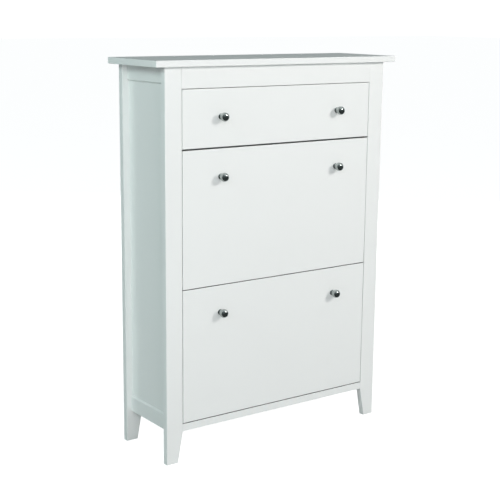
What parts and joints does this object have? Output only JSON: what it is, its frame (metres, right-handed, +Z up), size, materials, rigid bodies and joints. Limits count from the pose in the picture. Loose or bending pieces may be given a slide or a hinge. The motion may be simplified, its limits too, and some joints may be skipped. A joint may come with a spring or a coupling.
{
  "type": "shoe cabinet",
  "caption": "Slim white shoe cabinet on tapered legs, with one shallow drawer on roller runners above tilting flaps that carry sloping shoe trays.",
  "frame": {"origin": "on the floor, at the middle of the box that bounds the cabinet, knobs included", "axes": "X to the right as the cabinet is faced, the front faces -Y, +Z up"},
  "size_m": [0.85, 0.281, 1.148],
  "materials": {
    "white_paint": "satin white paint on smooth board",
    "white_laminate": "white melamine-faced board, matt",
    "hardboard": "raw brown hardboard",
    "beech": "raw beech",
    "chrome": "polished chrome",
    "zinc": "bright zinc plating",
    "runner_coat": "white epoxy coated sheet steel",
    "nylon": "natural nylon",
    "tray_plastic": "white moulded plastic, fine texture",
    "rubber": "soft pale rubber"
  },
  "bodies": {
    "carcase": {"back_nails": "zinc", "back_panel": "hardboard", "bottom_panel": "white_laminate", "cabinet_runner_left": "runner_coat", "cabinet_runner_right": "runner_coat", "cam_fittings": "zinc", "carcase_dowels": "beech", "carcase_screws": "zinc", "drawer_divider": "white_laminate", "flap_bumpers": "rubber", "front_bottom_rail": "white_paint", "front_post_left": "white_paint", "front_post_right": "white_paint", "front_top_rail": "white_paint", "lower_side_rail_left": "white_paint", "lower_side_rail_right": "white_paint", "middle_divider": "white_laminate", "pivot_pins": "zinc", "rear_post_left": "white_paint", "rear_post_right": "white_paint", "rear_top_rail": "white_paint", "runner_cleat_left": "beech", "runner_cleat_right": "beech", "side_panel_left": "white_paint", "side_panel_right": "white_paint", "stop_guides": "nylon", "top_panel": "white_paint", "upper_side_rail_left": "white_paint", "upper_side_rail_right": "white_paint"},
    "drawer": {"drawer_back": "white_laminate", "drawer_bottom": "white_laminate", "drawer_front": "white_paint", "drawer_knobs": "chrome", "drawer_runner_left": "runner_coat", "drawer_runner_right": "runner_coat", "drawer_screws": "zinc", "drawer_side_left": "white_laminate", "drawer_side_right": "white_laminate"},
    "upper_flap": {"upper_flap_bushes": "nylon", "upper_flap_cheek_left": "white_laminate", "upper_flap_cheek_right": "white_laminate", "upper_flap_knobs": "chrome", "upper_flap_lower_tray": "tray_plastic", "upper_flap_panel": "white_paint", "upper_flap_screws": "zinc", "upper_flap_stop_pegs": "zinc", "upper_flap_upper_tray": "tray_plastic"},
    "lower_flap": {"lower_flap_bushes": "nylon", "lower_flap_cheek_left": "white_laminate", "lower_flap_cheek_right": "white_laminate", "lower_flap_knobs": "chrome", "lower_flap_lower_tray": "tray_plastic", "lower_flap_panel": "white_paint", "lower_flap_screws": "zinc", "lower_flap_stop_pegs": "zinc", "lower_flap_upper_tray": "tray_plastic"},
    "front_roller_left": {"front_roller_left": "nylon"},
    "front_roller_right": {"front_roller_right": "nylon"},
    "rear_roller_left": {"rear_roller_left": "nylon"},
    "rear_roller_right": {"rear_roller_right": "nylon"}
  },
  "joints": [
    {"name": "drawer_slide", "type": "slide", "parent": "carcase", "child": "drawer", "axis": [0, -1, 0], "range_m": [0, 0.145]},
    {"name": "upper_flap_tilt", "type": "hinge", "parent": "carcase", "child": "upper_flap", "pos_m": [0, -0.1005, 0.5403], "axis": [1, 0, 0], "range_deg": [0, 42]},
    {"name": "lower_flap_tilt", "type": "hinge", "parent": "carcase", "child": "lower_flap", "pos_m": [0, -0.1005, 0.1468], "axis": [1, 0, 0], "range_deg": [0, 42]},
    {"name": "front_roller_left_spin", "type": "hinge", "parent": "carcase", "child": "front_roller_left", "pos_m": [-0.3325, -0.0765, 0.924], "axis": [1, 0, 0], "continuous": true},
    {"name": "rear_roller_left_spin", "type": "hinge", "parent": "drawer", "child": "rear_roller_left", "pos_m": [-0.3325, 0.0945, 0.924], "axis": [1, 0, 0], "continuous": true},
    {"name": "front_roller_right_spin", "type": "hinge", "parent": "carcase", "child": "front_roller_right", "pos_m": [0.3325, -0.0765, 0.924], "axis": [1, 0, 0], "continuous": true},
    {"name": "rear_roller_right_spin", "type": "hinge", "parent": "drawer", "child": "rear_roller_right", "pos_m": [0.3325, 0.0945, 0.924], "axis": [1, 0, 0], "continuous": true}
  ],
  "couplings": [
    {"joint": "front_roller_left_spin", "follows": "drawer_slide", "rad_per_m": 100},
    {"joint": "rear_roller_left_spin", "follows": "drawer_slide", "rad_per_m": 100},
    {"joint": "front_roller_right_spin", "follows": "drawer_slide", "rad_per_m": 100},
    {"joint": "rear_roller_right_spin", "follows": "drawer_slide", "rad_per_m": 100}
  ]
}
